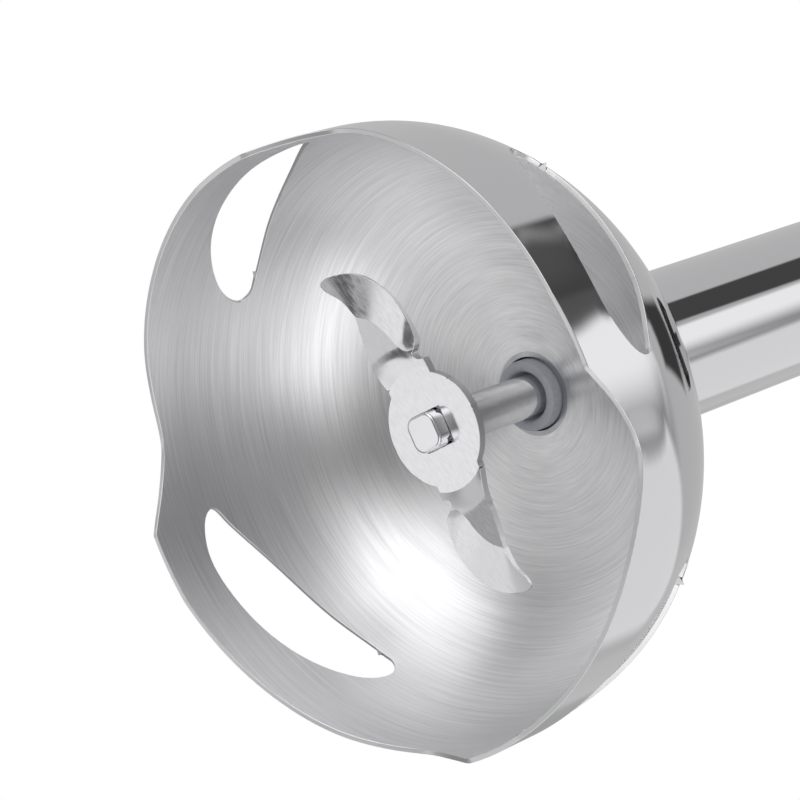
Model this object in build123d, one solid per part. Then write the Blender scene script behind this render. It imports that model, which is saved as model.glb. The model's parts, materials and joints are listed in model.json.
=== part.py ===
from build123d import *
from math import atan2, cos, degrees, hypot, radians, tan
import os

# Immersion blender standing on its bell. Z runs up the tool axis from the plane of the four feet and -Y is
# the button side. All sizes are in millimetres and all angles in degrees.

# Blending foot: one deep-drawn steel bell welded to a 3/4 inch tube.
SHEET = 0.6
BELL_R = 36.0
SKIRT_H = 8.5
CORNER_R = 22.3
CORNER_SWEEP = 75.0
CROWN_HOLE_R = 5.2
TUBE_R = 9.525
TUBE_WALL = 0.8
TUBE_TOP = 196.0
WINDOWS = 4
# Scalloped rim, drawn on the flat seen from outside the skirt, 60 degrees past a window's middle.
RIM_AZIMUTH = 60.0
RIM_HALF = 22.2
RIM_ARCH = [(-RIM_HALF, 0.0), (-18.4, 2.9), (-14.6, 4.7), (-12.3, 4.9), (-8.7, 4.3), (-1.3, 2.8),
            (9.3, 1.5), (RIM_HALF, 0.0)]
# Leaf-shaped window, its low end towards +Y for the window on +X.
WINDOW_LEAF = [(14.1, 9.6), (10.4, 6.9), (4.9, 6.7), (-4.6, 8.7), (-12.5, 12.6),
               (-15.2, 16.2), (-13.2, 17.9), (-2.8, 16.7), (5.1, 14.8), (11.6, 11.7)]

# Blade and drive line.
SHAFT_R = 2.5
SHAFT_END = 11.7
SHAFT_TOP = 204.0
STUB_FLATS = 4.4
RUN_FIT = 0.05
BLADE_Z = 13.5
BLADE_T = 1.0
HUB_R = 6.8
BLADE_AZIMUTH = 108.0
# Each wing twists about the line this far across and drops a little as it leaves the hub.
TWIST_LINE = 3.4
BLADE_TWIST = 5.0
WING_DROP = 0.3
CONVEX_EDGE = [(5.0, 2.7), (10.1, 3.1), (13.2, 3.2), (16.5, 2.0), (19.4, -0.6), (20.7, -4.4)]
HOLLOW_EDGE = [(20.2, -5.8), (17.9, -4.2), (15.6, -3.5), (11.7, -4.0), (5.0, -4.2)]
ROOT_NOTCH = (0.7, 8.6, 3.5)
SEAL_R = 4.5
SEAL_Z = 30.3
SEAL_TOP = 35.2
BUSH_R = 4.5
BUSH_LEN = 8.0
LOWER_BUSH_Z, UPPER_BUSH_Z = 36.0, 178.0
HOUSING_LOW, HOUSING_TOP = 32.8, 44.8
HOLDER_LOW, HOLDER_TOP = 176.0, 190.0
DRAIN_R, DRAIN_CIRCLE = 1.0, 7.0
CLIP_LOW, CLIP_TOP = 187.2, 188.2
CLIP_GROOVE_R = 2.1

# Quick-release joint between the foot and the motor unit.
JOINT_Z = 206.0
COLLAR_LOW = 182.0
COLLAR_R = 14.0
COLLAR_BORE = 9.2
SPIGOT_R = 12.0
SPIGOT_LEN = 9.0
RELEASE = 10.0
RING_TURN = 90.0
PIN_R = 1.5
PIN_Z = 202.0
PIN_ROOT = 12.5
PIN_REACH = 16.4
KEY = 3.0
O_RING_R, O_RING_Z, O_RING_WIRE = 11.25, 210.65, 0.65
RING_BORE = 14.3
RING_WIDE_BORE = 16.3
RING_R = 19.5
RING_LOW = 192.0
RING_TOP = 215.0
RIBS, RIB_R = 24, 0.9
WIRE_R, WIRE_Z = 0.6, 213.0
COUPLING_R = 7.4
DRIVEN_LOW, DRIVEN_TOP = 197.0, 210.0
DRIVER_TOP = 222.0
TANG = 3.5
TANG_PLAY = 0.4

# Handle.
WALL = 2.2
SHELL_LOW = 223.0
SHELL_TOP = 368.0
HANDLE_LINE = [(22.6, SHELL_LOW), (26.0, 246.0), (28.6, 285.0), (27.8, 335.0), (25.6, SHELL_TOP)]
CAP_TOP = 387.0
CAP_FLAT_R = 17.5
DIAL_Y = -7.5
DIAL_R = 8.4
GLAND_Y = 12.0
CORD_R = 3.4
SCREWS = [(15.0, 232.0), (19.0, 352.0)]
SCREW_SEAT = 12.0
SCREW_R, SCREW_LEN, SCREW_HEAD_R, SCREW_HEAD = 1.5, 19.0, 2.7, 2.0
BOSS_R = 3.2
VENT_ROWS = (250.0, 303.0)
VENT_LEN, VENT_W = 10.0, 1.8
GRIP_T = 0.9
GRIP_LOW, GRIP_TOP = 264.0, 340.0
SOCKET_R, SOCKET_TOP = 16.0, 228.0
TRIM_R, TRIM_LOW = 22.4, 219.0

# Motor.
MOTOR_SHAFT_R = 3.0
STATOR_R = 22.3
STATOR_LOW, STATOR_HIGH = 264.0, 296.0
POLE_R = 13.4
ROTOR_R = 12.9
CAN_R = 22.0
COMMUTATOR_R = 8.5
COMMUTATOR_LOW, COMMUTATOR_TOP = 303.0, 315.0
BRUSH_Z = 309.0
BRUSH_W = 5.0
BARS = 12
LOWER_BEARING = (232.0, 237.0, 8.0)
UPPER_BEARING = (319.0, 324.0, 6.5)
UPPER_PLATE = 316.0
PLATE_T = 2.5
FAN_BLADES = 9
FAN_LOW, FAN_TOP, FAN_R = 245.5, 256.0, 19.0
BOARD_Y = -15.6
BOARD_T = 1.6
SWITCH_T = 3.4
LEAD_X = 12.0
LEAD_R = 0.8
POT_LOW, POT_TOP = 368.0, 376.0
BUTTON_LEN = 12.0
DIAL_LOW, DIAL_TOP = 380.5, 391.5
BUTTONS = {"power": (344.0, 8.0), "turbo": (326.5, 6.5)}


def rod(low, high, radius, x=0.0, y=0.0):
    """Solid cylinder along Z between two heights."""
    return Pos(x, y, (low + high) / 2) * Cylinder(radius, high - low)


def ring(low, high, outer, inner, x=0.0, y=0.0):
    """Plain washer or sleeve along Z."""
    return rod(low, high, outer, x, y) - rod(low, high, inner, x, y)


def block(x0, x1, y0, y1, z0, z1):
    """Box between two corners."""
    return Pos((x0 + x1) / 2, (y0 + y1) / 2, (z0 + z1) / 2) * Box(x1 - x0, y1 - y0, z1 - z0)


def turned(points):
    """Solid of revolution about Z through (radius, height) corners."""
    return revolve(Plane.XZ * make_face(Polyline(*points, close=True)), Axis.Z)


def spun(line):
    """Solid of revolution whose (radius, height) outline is a smooth line closed along the axis."""
    low, high = line[0], line[-1]
    outline = Spline(*line) + Polyline(high, (0, high[1]), (0, low[1]), low)
    return revolve(Plane.XZ * make_face(outline), Axis.Z)


def around(shape, count, start=0.0):
    """Copies of a shape at equal angles about Z."""
    return [Rot(0, 0, start + 360.0 * i / count) * shape for i in range(count)]


def sector(solid, middle, half, reach=40.0):
    """The part of a solid that lies within an angle either side of an azimuth about Z."""
    box = solid.bounding_box()
    spread = reach * tan(radians(half))
    fan = make_face(Polyline((0, 0), (reach, -spread), (reach, spread), close=True))
    wedge = Pos(0, 0, box.min.Z - 1) * extrude(fan, box.size.Z + 2)
    return solid & (Rot(0, 0, middle) * wedge)


def coil(radius, wire, length, turns):
    """Compression spring standing on Z = 0."""
    path = Helix(pitch=length / turns, height=length, radius=radius)
    return sweep(Plane(path @ 0, z_dir=path % 0) * Circle(wire), path=path, is_frenet=True)


def dome(inset):
    """Solid filled by the bell, drawn in by a thickness all over."""
    middle = BELL_R - CORNER_R
    crown_low = SKIRT_H - middle * tan(radians(CORNER_SWEEP))
    crown_r = CORNER_R + middle / cos(radians(CORNER_SWEEP))
    foot = -inset
    outline = Line((BELL_R - inset, foot), (BELL_R - inset, SKIRT_H))
    outline += CenterArc((middle, SKIRT_H), CORNER_R - inset, 0, CORNER_SWEEP)
    outline += CenterArc((0, crown_low), crown_r - inset, CORNER_SWEEP, 90 - CORNER_SWEEP)
    outline += Polyline((0, crown_low + crown_r - inset), (0, foot), (BELL_R - inset, foot))
    return revolve(Plane.XZ * make_face(outline), Axis.Z)


def punch(face, azimuth):
    """Cutter that drives an outline, drawn on (tangent, Z), outwards through one side of the skirt."""
    side = Plane((0, 0, 0), x_dir=(0, 1, 0), z_dir=(1, 0, 0))
    return Rot(0, 0, azimuth) * (Pos(BELL_R / 2, 0, 0) * extrude(side * face, BELL_R))


def make_bell():
    arch = make_face(Spline(*RIM_ARCH)
                     + Polyline(RIM_ARCH[-1], (RIM_HALF, -2), (-RIM_HALF, -2), RIM_ARCH[0]))
    leaf = make_face(Spline(*WINDOW_LEAF, periodic=True))
    bell = dome(0) - dome(SHEET) - rod(25, 40, CROWN_HOLE_R)
    for i in range(WINDOWS):
        turn = 360.0 / WINDOWS * i
        bell -= punch(leaf, turn)
        bell -= punch(arch, turn + RIM_AZIMUTH)
    return bell


def make_foot():
    """Bell, tube and everything that stays with them."""
    inner = TUBE_R - TUBE_WALL
    housing = rod(HOUSING_LOW, HOUSING_TOP, inner) + rod(HOUSING_LOW - 1, HOUSING_LOW, CROWN_HOLE_R - 0.1)
    housing -= rod(SEAL_Z, LOWER_BUSH_Z, SEAL_R) + rod(LOWER_BUSH_Z, HOUSING_TOP + 1, BUSH_R)
    lip = turned([(SHAFT_R + RUN_FIT, SEAL_Z + 0.5), (SHAFT_R + 0.8, SEAL_Z + 0.2), (SHAFT_R + 1.1, SEAL_Z),
                  (SEAL_R - 0.3, SEAL_Z), (SEAL_R, SEAL_Z + 0.3), (SEAL_R, SEAL_TOP),
                  (SHAFT_R + RUN_FIT, SEAL_TOP)])
    holder = rod(HOLDER_LOW, HOLDER_TOP, inner) - rod(HOLDER_LOW - 1, HOLDER_TOP + 1, BUSH_R)
    holder -= rod(HOLDER_TOP - 3, HOLDER_TOP + 1, BUSH_R + 1.5)
    holder -= around(rod(HOLDER_LOW - 1, HOLDER_TOP + 1, DRAIN_R, DRAIN_CIRCLE), 3)
    spigot_top = JOINT_Z + SPIGOT_LEN
    collar = turned([(TUBE_R, COLLAR_LOW), (COLLAR_R - 2.8, COLLAR_LOW), (COLLAR_R, COLLAR_LOW + 6),
                     (COLLAR_R, JOINT_Z), (SPIGOT_R, JOINT_Z), (SPIGOT_R, spigot_top),
                     (COLLAR_BORE, spigot_top), (COLLAR_BORE, TUBE_TOP), (TUBE_R, TUBE_TOP)])
    collar -= ring(O_RING_Z - 0.75, O_RING_Z + 0.75, SPIGOT_R + 1, O_RING_R - O_RING_WIRE)
    key = block(SPIGOT_R - 0.5, SPIGOT_R + 1.2, -KEY / 2, KEY / 2, JOINT_Z, JOINT_Z + KEY)
    collar += around(key, 2, 90)
    pin = Pos((PIN_ROOT + PIN_REACH) / 2, 0, PIN_Z) * Rot(0, 90, 0) * Cylinder(PIN_R, PIN_REACH - PIN_ROOT)
    pins = around(pin, 2)
    collar -= pins
    snap_low = HOLDER_TOP + 0.1
    snap = ring(snap_low, snap_low + 1, inner, 7.4) - block(0, 10, -1.2, 1.2, snap_low - 1, snap_low + 2)
    return {
        "bell": make_bell(),
        "shaft_tube": ring(25, TUBE_TOP, TUBE_R, inner) - dome(0),
        "lower_bearing_housing": housing,
        "lip_seal": lip,
        "seal_washer": ring(SEAL_TOP, LOWER_BUSH_Z, SEAL_R, SHAFT_R + 0.4),
        "lower_bush": ring(LOWER_BUSH_Z, LOWER_BUSH_Z + BUSH_LEN, BUSH_R, SHAFT_R + RUN_FIT),
        "upper_bearing_holder": holder,
        "upper_bush": ring(UPPER_BUSH_Z, UPPER_BUSH_Z + BUSH_LEN, BUSH_R, SHAFT_R + RUN_FIT),
        "holder_snap_ring": snap,
        "tube_collar": collar,
        "collar_pins": Compound(children=pins),
        "collar_o_ring": Pos(0, 0, O_RING_Z) * Torus(O_RING_R, O_RING_WIRE),
    }


def make_wing():
    """One sickle wing along +X: a plate that twists as it leaves the hub, its hollow edge lower."""
    outline = make_face(Spline(*CONVEX_EDGE) + Line(CONVEX_EDGE[-1], HOLLOW_EDGE[0])
                        + Spline(*HOLLOW_EDGE) + Line(HOLLOW_EDGE[-1], CONVEX_EDGE[0]))
    sections = []
    for reach, share in ((4.0, 0.0), (6.5, 0.0), (10.0, 1.0), (24.0, 1.0)):
        height = BLADE_Z - WING_DROP * share
        hinge = Plane((reach, TWIST_LINE, height), x_dir=(0, 1, 0), z_dir=(1, 0, 0))
        hinge *= Rot(0, 0, BLADE_TWIST * share)
        sections.append(hinge * Pos(-4, BLADE_T / 2) * Rectangle(14, BLADE_T))
    plate = loft(sections, ruled=True)
    wing = plate & (Pos(0, 0, BLADE_Z - 5) * extrude(outline, 10))
    return wing - rod(BLADE_Z - 5, BLADE_Z + 5, *ROOT_NOTCH)


def make_drive():
    """Blade, shaft and driven coupling, which turn together inside the foot."""
    shaft = turned([(0, SHAFT_END), (SHAFT_R - 0.4, SHAFT_END), (SHAFT_R, SHAFT_END + 0.4),
                    (SHAFT_R, CLIP_LOW), (CLIP_GROOVE_R, CLIP_LOW), (CLIP_GROOVE_R, CLIP_TOP),
                    (SHAFT_R, CLIP_TOP), (SHAFT_R, SHAFT_TOP), (0, SHAFT_TOP)])
    flat = block(STUB_FLATS / 2, 4, -4, 4, SHAFT_END - 1, BLADE_Z + BLADE_T)
    shaft -= around(flat, 4, BLADE_AZIMUTH)
    wing = make_wing()
    blade = rod(BLADE_Z, BLADE_Z + BLADE_T, HUB_R) + wing + Rot(0, 0, 180) * wing
    hole = STUB_FLATS + 0.3
    blade -= fillet((Pos(0, 0, BLADE_Z) * Box(hole, hole, 8)).edges().filter_by(Axis.Z), 0.6)
    circlip = ring(CLIP_LOW + 0.1, CLIP_TOP - 0.1, 4.6, CLIP_GROOVE_R + RUN_FIT)
    circlip -= block(0, 6, -1.3, 1.3, CLIP_LOW - 1, CLIP_TOP + 1)
    driven = rod(DRIVEN_LOW, DRIVEN_TOP, COUPLING_R) - rod(DRIVEN_LOW - 1, SHAFT_TOP, SHAFT_R)
    half = (TANG + 0.5) / 2
    slot = block(-COUPLING_R - 1, COUPLING_R + 1, -half, half, JOINT_Z, DRIVEN_TOP + 1)
    slots = slot + Rot(0, 0, 90) * slot
    return {
        "drive_shaft": shaft,
        "blade": Rot(0, 0, BLADE_AZIMUTH) * blade,
        "shaft_circlip": circlip,
        "driven_coupling": driven - slots,
    }


def helical_slot(steps=9):
    """Cutter for the path that a collar pin takes through the turning lock ring."""
    radius = PIN_R + 0.3
    depth = PIN_REACH + 0.3
    share = 1.25 / steps
    drop = RELEASE * share
    swing = RING_TURN * share
    run = radians(swing) * (RING_BORE + depth) / 2
    end = Rot(0, 90, 0) * Pos(0, 0, depth / 2) * Cylinder(radius, depth)
    lean = Rot(degrees(atan2(drop, run)), 0, 0)
    link = Pos(depth / 2, 0, 0) * lean * Box(depth, hypot(run, drop), 2 * radius)
    cutter = Pos(0, 0, PIN_Z) * end
    for i in range(steps):
        cutter += Pos(0, 0, PIN_Z - drop * (i + 0.5)) * Rot(0, 0, -swing * (i + 0.5)) * link
        cutter += Pos(0, 0, PIN_Z - drop * (i + 1)) * Rot(0, 0, -swing * (i + 1)) * end
    return cutter


def make_lock_ring():
    body = turned([(RING_BORE, RING_LOW), (RING_R - 1.5, RING_LOW), (RING_R, RING_LOW + 1.5),
                   (RING_R, RING_TOP - 1), (RING_R - 1, RING_TOP), (RING_WIDE_BORE, RING_TOP),
                   (RING_WIDE_BORE, JOINT_Z - 1), (RING_BORE, JOINT_Z - 1)])
    slot = helical_slot()
    body -= [slot, Rot(0, 0, 180) * slot]
    body -= ring(WIRE_Z - 0.7, WIRE_Z + 0.7, RING_WIDE_BORE + 0.4, RING_WIDE_BORE - 1)
    body -= around(rod(RING_LOW + 3, RING_TOP - 3, RIB_R, RING_R + 0.3), RIBS)
    wire = Pos(0, 0, WIRE_Z) * Torus(RING_WIDE_BORE - 0.35, WIRE_R)
    return {"lock_ring": body, "ring_snap_wire": wire - block(0, 20, -2, 2, WIRE_Z - 3, WIRE_Z + 3)}


def handle(offset=0.0):
    """Solid filled by the handle's casing, grown or drawn in by a distance."""
    return spun([(radius + offset, z) for radius, z in HANDLE_LINE])


def make_casing():
    """Front and rear casing halves with vents, screw bosses and button holes, and the soft rear grip."""
    hollow = handle(-WALL)
    shell = handle() - hollow
    for x, z in SCREWS:
        for side in (-1, 1):
            shell += (Pos(side * x, 0, z) * Rot(90, 0, 0) * Cylinder(BOSS_R, 80)) & hollow
            bore = Pos(side * x, SCREW_SEAT, z) * Rot(-90, 0, 0)
            shell -= bore * rod(-SCREW_LEN - 2, 0, SCREW_R + 0.1)
            shell -= bore * rod(0, 40, SCREW_HEAD_R + 0.3)
    for low in VENT_ROWS:
        slot = block(20, 40, -VENT_W / 2, VENT_W / 2, low, low + VENT_LEN)
        for turn in range(-28, 29, 14):
            shell -= around(slot, 2, turn)
    for z, radius in BUTTONS.values():
        shell -= Pos(0, -30, z) * Rot(90, 0, 0) * Cylinder(radius + 0.3, 30)
    grip = sector(handle(GRIP_T) - handle(0.05), 90, 52) & block(-40, 40, 0, 40, GRIP_LOW, GRIP_TOP)
    return {
        "handle_front": shell & block(-40, 40, -40, -0.05, 200, 400),
        "handle_rear": shell & block(-40, 40, 0.05, 40, 200, 400),
        "rear_grip": grip,
    }


def make_screws():
    """Four pan-head screws that hold the casing halves together."""
    screw = rod(0, SCREW_HEAD, SCREW_HEAD_R) + rod(-SCREW_LEN, 0, SCREW_R)
    recess = block(-1.9, 1.9, -0.35, 0.35, SCREW_HEAD - 0.9, SCREW_HEAD + 1)
    screw -= recess + Rot(0, 0, 90) * recess
    return Compound(children=[Pos(side * x, SCREW_SEAT, z) * Rot(-90, 0, 0) * screw
                              for x, z in SCREWS for side in (-1, 1)])


def make_ends():
    """Socket and trim at the bottom of the handle, cap and cord gland at its top."""
    bore, neck = SPIGOT_R + 0.08, 9.6
    socket = turned([(bore, JOINT_Z), (SOCKET_R, JOINT_Z), (SOCKET_R, RING_TOP + 1), (TRIM_R, RING_TOP + 1),
                     (TRIM_R, TRIM_LOW), (SOCKET_R, TRIM_LOW), (SOCKET_R, SOCKET_TOP), (neck, SOCKET_TOP),
                     (neck, RING_TOP + 2), (bore, RING_TOP + 2)])
    socket -= ring(WIRE_Z - 0.9, WIRE_Z + 0.9, SOCKET_R + 1, SOCKET_R - 0.95)
    half = KEY / 2 + 0.2
    keyway = block(SPIGOT_R - 1, SPIGOT_R + 1.5, -half, half, JOINT_Z - 1, JOINT_Z + KEY + 2)
    socket -= around(keyway, 2, 90)
    low, rim = SHELL_TOP + 0.05, HANDLE_LINE[-1][0]
    crown = Spline((rim, low), (rim - 2, CAP_TOP - 7), (CAP_FLAT_R, CAP_TOP),
                   tangents=[(-0.1, 1), (-1, 0)])
    crown += Polyline((CAP_FLAT_R, CAP_TOP), (0, CAP_TOP), (0, low), (rim, low))
    cap = revolve(Plane.XZ * make_face(crown), Axis.Z) + rod(362, low, 23.2)
    cap -= spun([(21.6, 361), (21.4, 372), (19.4, 380), (14.5, 384.6)])
    cap -= rod(380, 390, DIAL_R + 0.3, 0, DIAL_Y)
    cap -= rod(380, 390, 5.0, 0, GLAND_Y)
    gland = turned([(CORD_R, 380), (4.95, 380), (4.95, CAP_TOP), (6.3, CAP_TOP), (6.3, CAP_TOP + 1.4),
                    (5.5, CAP_TOP + 2.2), (CORD_R, CAP_TOP + 2.2)])
    trim_top = SHELL_LOW - 0.05
    return {
        "drive_socket": socket,
        "trim_ring": turned([(SOCKET_R + 0.05, TRIM_LOW), (TRIM_R, TRIM_LOW), (TRIM_R + 0.2, trim_top),
                             (SOCKET_R + 0.05, trim_top)]),
        "top_cap": cap,
        "cord_gland": Pos(0, GLAND_Y, 0) * gland,
    }


def make_motor_frame():
    """Stator, brackets, bearings and brush gear, which stay still in the handle."""
    low, high = STATOR_LOW, STATOR_HIGH
    pole = sector(ring(low, high, 15.4, POLE_R), 0, 52) + block(15, 19.5, -6, 6, low, high)
    winding = sector(ring(low - 4.5, high + 4.5, 18.8, 15.6), 0, 50)
    winding -= block(10, 25, -6.2, 6.2, low - 0.2, high + 0.2)
    seat_low, seat_top, seat_r = LOWER_BEARING
    plate = seat_top + PLATE_T
    lower = ring(seat_low - 1, seat_top, seat_r + 1.5, seat_r) + ring(seat_top, plate, CAN_R, 5)
    lower += ring(plate, low, CAN_R, CAN_R - 1.4)
    lower -= around(block(18, 24, -5, 5, 243, 255), 6)
    seat_low, seat_top, seat_r = UPPER_BEARING
    plate = UPPER_PLATE + PLATE_T
    upper = ring(UPPER_PLATE, plate, CAN_R, 4.5) + ring(plate, seat_top + 1, seat_r + 2.5, seat_r)
    leg = sector(ring(high, UPPER_PLATE, CAN_R, CAN_R - 2), 90, 25)
    upper += around(leg, 2)
    upper -= [rod(UPPER_PLATE - 1, plate + 1, 2 * LEAD_R, side * LEAD_X, -10) for side in (-1, 1)]
    holder = block(10.5, 21.5, -3.8, 3.8, BRUSH_Z - 4, BRUSH_Z + 4)
    holder += block(13, 20, -3.8, 3.8, BRUSH_Z + 4, UPPER_PLATE)
    half, slide = BRUSH_W / 2, BRUSH_W / 2 + 0.1
    holder -= block(9, 21, -slide, slide, BRUSH_Z - slide, BRUSH_Z + slide)
    brush = block(8, 16, -half, half, BRUSH_Z - half, BRUSH_Z + half)
    brush -= rod(COMMUTATOR_LOW, COMMUTATOR_TOP, COMMUTATOR_R + 0.08)
    spring = Pos(16.4, 0, BRUSH_Z) * Rot(0, 90, 0) * coil(1.7, 0.3, 4.2, 4)
    return {
        "stator_core": ring(low, high, STATOR_R, 19.0) + around(pole, 2),
        "field_coils": Compound(children=around(winding, 2)),
        "lower_bracket": lower,
        "upper_bracket": upper,
        "lower_bearing": ring(*LOWER_BEARING, MOTOR_SHAFT_R + RUN_FIT),
        "upper_bearing": ring(*UPPER_BEARING, MOTOR_SHAFT_R + RUN_FIT),
        "lower_damping_ring": ring(256, 260, 24.3, CAN_R + 0.05),
        "upper_damping_ring": ring(UPPER_PLATE - 0.8, UPPER_PLATE + 2.2, 25.2, CAN_R + 0.05),
        "brush_holders": Compound(children=around(holder, 2)),
        "carbon_brushes": Compound(children=around(brush, 2)),
        "brush_springs": Compound(children=around(spring, 2)),
    }


def make_rotor():
    """Armature, fan and driver coupling on the motor shaft."""
    low, high = STATOR_LOW, STATOR_HIGH
    shaft = rod(211, 326, MOTOR_SHAFT_R)
    core = ring(low, high, ROTOR_R, MOTOR_SHAFT_R)
    core -= around(block(7.5, 14, -0.9, 0.9, low - 1, high + 1), BARS)
    windings = ring(low - 6, low - 0.1, 11.8, 4.2) + ring(high + 0.1, high + 6, 11.8, 4.2)
    windings += around(block(7.7, 11.8, -0.75, 0.75, low - 1, high + 1), BARS)
    commutator = ring(COMMUTATOR_LOW, COMMUTATOR_TOP, COMMUTATOR_R, MOTOR_SHAFT_R)
    commutator -= around(block(7.3, 9, -0.25, 0.25, COMMUTATOR_LOW - 1, COMMUTATOR_TOP + 1), BARS)
    vane = Pos(12.3, 0, 251) * Rot(35, 0, 0) * Box(12.6, 1.2, 9)
    fan = ring(FAN_LOW, FAN_TOP, 6.2, MOTOR_SHAFT_R) + around(vane, FAN_BLADES)
    fan += ring(FAN_TOP - 1, FAN_TOP, FAN_R, 6)
    fan &= rod(FAN_LOW - 1, FAN_TOP + 1, FAN_R)
    root, tip = DRIVEN_TOP + TANG_PLAY, JOINT_Z + TANG_PLAY
    reach = COUPLING_R - 0.3
    tang = block(-reach, reach, -TANG / 2, TANG / 2, tip, root)
    driver = rod(root, DRIVER_TOP, COUPLING_R)
    driver += (tang + Rot(0, 0, 90) * tang) & rod(JOINT_Z, root + 1, COUPLING_R - 0.2)
    return {
        "motor_shaft": shaft,
        "rotor_core": core,
        "rotor_windings": windings,
        "commutator": commutator,
        "fan": fan,
        "driver_coupling": driver - shaft,
    }


def lead(points, radius, bend):
    """Insulated wire along straight runs joined by arcs."""
    path = FilletPolyline(*points, radius=bend)
    return sweep(Plane(path @ 0, z_dir=path % 0) * Circle(radius), path=path)


def make_electronics():
    """Board, switches and wiring behind the buttons, and the speed control under the cap."""
    back = BOARD_Y + BOARD_T
    switches = []
    for z, _ in BUTTONS.values():
        body = block(-4.5, 4.5, BOARD_Y - SWITCH_T, BOARD_Y - 0.02, z - 3, z + 3)
        switches.append(body + Pos(0, BOARD_Y - SWITCH_T - 0.3, z) * Rot(90, 0, 0) * Cylinder(0.9, 0.8))
    pot = block(-8, 8, DIAL_Y - 8, DIAL_Y + 8, POT_LOW, POT_TOP) + rod(POT_TOP, POT_TOP + 4, 4.5, 0, DIAL_Y)
    supply, motor = [], []
    for side in (-1, 1):
        supply.append(lead([(3 * side, GLAND_Y, 379), (3 * side, GLAND_Y, 364), (3 * side, -4, 358),
                            (3 * side, back + 0.1, 358)], LEAD_R, 4.0))
        x = LEAD_X * side
        motor.append(lead([(x, back + 0.5, 328), (x, -10, 326), (x, -10, BRUSH_Z + 2),
                           (15 * side, -4.7, BRUSH_Z)], LEAD_R, 1.8))
    return {
        "circuit_board": block(-14, 14, BOARD_Y, back, 320.5, 362),
        "microswitches": Compound(children=switches),
        "capacitor": fillet(rod(330, 346, 5, 7, -8.5).edges(), 0.8),
        "choke": Pos(-7, -8.5, 338) * Torus(3.4, 1.8),
        "potentiometer": pot - rod(POT_LOW - 1, POT_TOP + 5, MOTOR_SHAFT_R + RUN_FIT, 0, DIAL_Y),
        "supply_leads": Compound(children=supply),
        "motor_leads": Compound(children=motor),
    }


def make_controls():
    """Push buttons with their return springs, and the speed dial."""
    parts = {}
    for name, (z, radius) in BUTTONS.items():
        place = Pos(0, BOARD_Y - SWITCH_T - 3, z) * Rot(90, 0, 0)
        cap = (place * rod(0, BUTTON_LEN, radius)) & handle(1.6)
        flange = (place * rod(0, BUTTON_LEN, radius + 0.9)) & handle(-WALL - 0.25)
        parts[name + "_button"] = cap + flange
        seat = Pos(0, BOARD_Y - SWITCH_T - 0.4, z) * Rot(90, 0, 0)
        parts[name + "_spring"] = seat * coil(2.2, 0.3, 2.2, 3)
    knob = chamfer(rod(DIAL_LOW, DIAL_TOP, DIAL_R, 0, DIAL_Y).edges().group_by(Axis.Z)[-1], 0.8)
    groove = rod(DIAL_LOW + 4.5, DIAL_TOP + 1, 0.6, DIAL_R + 0.15)
    knob -= [Pos(0, DIAL_Y, 0) * flute for flute in around(groove, RIBS)]
    knob -= block(-0.5, 0.5, DIAL_Y - 7.5, DIAL_Y - 3.5, DIAL_TOP - 0.5, DIAL_TOP + 1)
    spindle = rod(POT_LOW + 0.5, CAP_TOP + 1, MOTOR_SHAFT_R, 0, DIAL_Y)
    parts["speed_dial"] = knob - spindle
    parts["dial_spindle"] = spindle
    return parts


def main():
    os.makedirs("parts", exist_ok=True)
    groups = [make_foot, make_drive, make_lock_ring, make_casing, make_ends, make_motor_frame, make_rotor,
              make_electronics, make_controls]
    parts = {"shell_screws": make_screws()}
    for group in groups:
        parts.update(group())
    for name, shape in parts.items():
        export_step(shape, "parts/" + name + ".step")


main()
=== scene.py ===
import json
from math import asin, cos, pi, radians, sin, tan

import bmesh
import bpy
from bpy.props import FloatProperty, FloatVectorProperty, PointerProperty
from mathutils import Matrix, Vector
from mathutils.geometry import interpolate_bezier


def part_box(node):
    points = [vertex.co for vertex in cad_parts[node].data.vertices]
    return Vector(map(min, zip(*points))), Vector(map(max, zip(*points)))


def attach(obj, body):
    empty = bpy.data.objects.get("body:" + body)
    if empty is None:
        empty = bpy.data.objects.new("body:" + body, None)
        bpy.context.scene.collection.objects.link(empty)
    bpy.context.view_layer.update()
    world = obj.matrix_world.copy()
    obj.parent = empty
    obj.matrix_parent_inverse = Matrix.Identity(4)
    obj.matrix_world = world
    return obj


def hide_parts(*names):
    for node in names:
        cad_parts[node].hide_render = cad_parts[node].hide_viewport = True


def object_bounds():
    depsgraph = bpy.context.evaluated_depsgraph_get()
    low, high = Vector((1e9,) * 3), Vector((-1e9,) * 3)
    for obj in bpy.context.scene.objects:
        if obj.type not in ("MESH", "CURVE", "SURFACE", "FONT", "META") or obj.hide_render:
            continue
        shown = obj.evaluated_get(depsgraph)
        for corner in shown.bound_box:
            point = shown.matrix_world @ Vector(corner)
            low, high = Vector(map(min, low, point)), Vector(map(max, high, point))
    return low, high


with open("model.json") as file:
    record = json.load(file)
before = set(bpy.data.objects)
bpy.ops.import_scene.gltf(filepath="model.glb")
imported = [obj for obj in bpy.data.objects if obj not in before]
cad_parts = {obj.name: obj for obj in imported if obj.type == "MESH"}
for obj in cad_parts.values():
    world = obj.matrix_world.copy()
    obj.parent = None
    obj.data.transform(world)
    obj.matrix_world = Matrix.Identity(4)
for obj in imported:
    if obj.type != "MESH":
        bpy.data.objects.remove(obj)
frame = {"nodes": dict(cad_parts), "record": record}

bl_info = {
    "name": "Immersion Blender Foot and Handle",
    "version": (1, 0, 0),
    "blender": (4, 5, 0),
    "location": "3D View > Sidebar > Stick Blender",
    "description": "Builds the visible pieces, finishes and stage of a steel-footed immersion blender",
    "category": "Object",
}

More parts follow.
